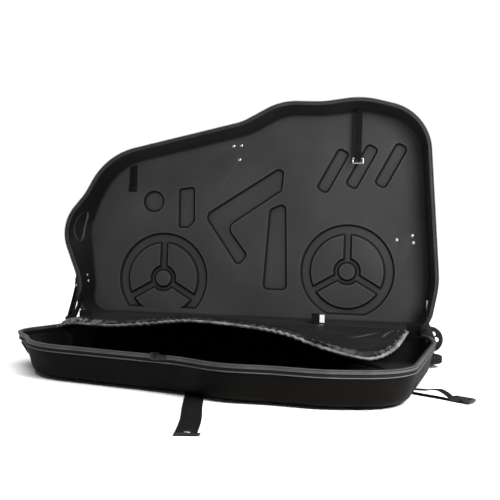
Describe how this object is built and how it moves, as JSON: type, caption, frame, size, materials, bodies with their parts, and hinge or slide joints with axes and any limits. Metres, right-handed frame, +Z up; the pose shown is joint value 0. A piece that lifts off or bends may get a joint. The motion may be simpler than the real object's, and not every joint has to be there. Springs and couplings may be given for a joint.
{
  "type": "bicycle travel case",
  "caption": "Clam-shell bicycle travel case with moulded soft-faced halves, zip rim, hinged divider pad, corner wheels, carry straps and stay straps, shown open.",
  "frame": {"origin": "on the ground, under the middle of the open case's box", "axes": "+X along the case from the nose to the wheels, +Y from the front half towards the upright back half, +Z up"},
  "size_m": [1.2945, 1.1696, 0.8067],
  "materials": {
    "shell": "moulded foam board faced with matt black polyester cloth",
    "binding": "woven edge binding",
    "zip": "nylon zip coil",
    "webbing": "black polypropylene webbing",
    "pad": "black nylon over foam",
    "pad_binding": "grey bound edge",
    "hard_plastic": "black moulded plastic",
    "tyre": "black solid tread",
    "steel": "plated steel",
    "label": "plain white woven label"
  },
  "bodies": {
    "front_half": {"front_shell": "shell", "front_rim_binding": "binding", "front_zip_tape": "binding", "front_zip_coil": "zip", "hinge_cord": "webbing", "front_hinge_tape": "webbing", "front_stay_tabs": "webbing", "left_stay": "webbing", "right_stay": "webbing", "front_wheel_bracket": "hard_plastic", "front_wheel_axle": "steel", "nose_wheel_strap": "webbing", "nose_wheel_buckle": "hard_plastic", "tail_wheel_strap": "webbing", "tail_wheel_buckle": "hard_plastic", "wide_strap": "webbing", "wide_strap_anchor": "webbing", "wide_strap_end": "steel", "wide_strap_eyelet": "steel", "closing_strap_lower": "webbing", "closing_strap_anchor": "webbing", "closing_strap_upper": "webbing", "buckle_socket": "hard_plastic"},
    "back_half": {"back_shell": "shell", "back_rim_binding": "binding", "back_zip_tape": "binding", "back_zip_coil": "zip", "back_hinge_tape": "webbing", "back_stay_tabs": "webbing", "stay_buckle": "hard_plastic", "back_wheel_bracket": "hard_plastic", "back_wheel_axle": "steel", "end_handle_bracket": "hard_plastic", "end_handle_pin": "steel", "end_handle_rivets": "steel", "upper_ring_plate": "hard_plastic", "upper_rivets": "steel", "tail_ring_plate": "hard_plastic", "tail_rivets": "steel", "top_strap": "webbing", "nose_strap": "webbing", "bottom_tab": "webbing", "strap_label": "label"},
    "divider": {"divider_pad": "pad", "divider_binding": "pad_binding", "divider_tape": "webbing"},
    "back_wheel": {"back_wheel_tyre": "tyre", "back_wheel_hub": "hard_plastic"},
    "front_wheel": {"front_wheel_tyre": "tyre", "front_wheel_hub": "hard_plastic"},
    "slider": {"zip_slider": "steel"},
    "pull": {"zip_pull": "steel"},
    "end_handle": {"end_handle_loop": "webbing", "end_handle_grip": "hard_plastic"},
    "upper_dee": {"upper_ring": "steel"},
    "tail_dee": {"tail_ring": "steel"},
    "strap_dee": {"top_strap_ring": "steel"},
    "plug": {"buckle_plug": "hard_plastic"}
  },
  "joints": [
    {"name": "case_close", "type": "hinge", "parent": "front_half", "child": "back_half", "pos_m": [-0.04479, 0.43477, 0.099], "axis": [1, 0, 0], "range_deg": [0, 95], "deforming": ["left_stay", "right_stay"]},
    {"name": "divider_fold", "type": "hinge", "parent": "back_half", "child": "divider", "pos_m": [-0.04479, 0.43477, 0.099], "axis": [1, 0, 0], "range_deg": [-95, 0]},
    {"name": "back_wheel_spin", "type": "hinge", "parent": "back_half", "child": "back_wheel", "pos_m": [0.51821, 0.50792, 0.07453], "axis": [0, 0.9962, -0.0872], "continuous": true},
    {"name": "front_wheel_spin", "type": "hinge", "parent": "front_half", "child": "front_wheel", "pos_m": [0.51821, 0.45277, 0.024], "axis": [0, 0, 1], "continuous": true},
    {"name": "zip_slide", "type": "slide", "parent": "front_half", "child": "slider", "axis": [0.972, -0.2348, 0], "range_m": [-0.28, 0]},
    {"name": "zip_pull_swing", "type": "hinge", "parent": "slider", "child": "pull", "pos_m": [-0.13228, -0.19408, 0.096], "axis": [0, 0, -1], "range_deg": [0, 170]},
    {"name": "end_handle_swing", "type": "hinge", "parent": "back_half", "child": "end_handle", "pos_m": [-0.60879, 0.47706, 0.20371], "axis": [0, 0.9962, -0.0872], "range_deg": [0, 75]},
    {"name": "upper_ring_swing", "type": "hinge", "parent": "back_half", "child": "upper_dee", "pos_m": [-0.10179, 0.57599, 0.59558], "axis": [1, 0, 0], "range_deg": [0, 120]},
    {"name": "tail_ring_swing", "type": "hinge", "parent": "back_half", "child": "tail_dee", "pos_m": [0.43521, 0.55377, 0.34155], "axis": [1, 0, 0], "range_deg": [0, 120]},
    {"name": "strap_ring_swing", "type": "hinge", "parent": "back_half", "child": "strap_dee", "pos_m": [0.28521, 0.54163, 0.62168], "axis": [1, 0, 0], "range_deg": [-50, 50]},
    {"name": "buckle_release", "type": "slide", "parent": "front_half", "child": "plug", "axis": [-0.8387, 0.5446, 0], "range_m": [0, 0.03], "deforming": ["closing_strap_upper"]}
  ],
  "couplings": [
    {"joint": "divider_fold", "follows": "case_close", "ratio": -1}
  ]
}
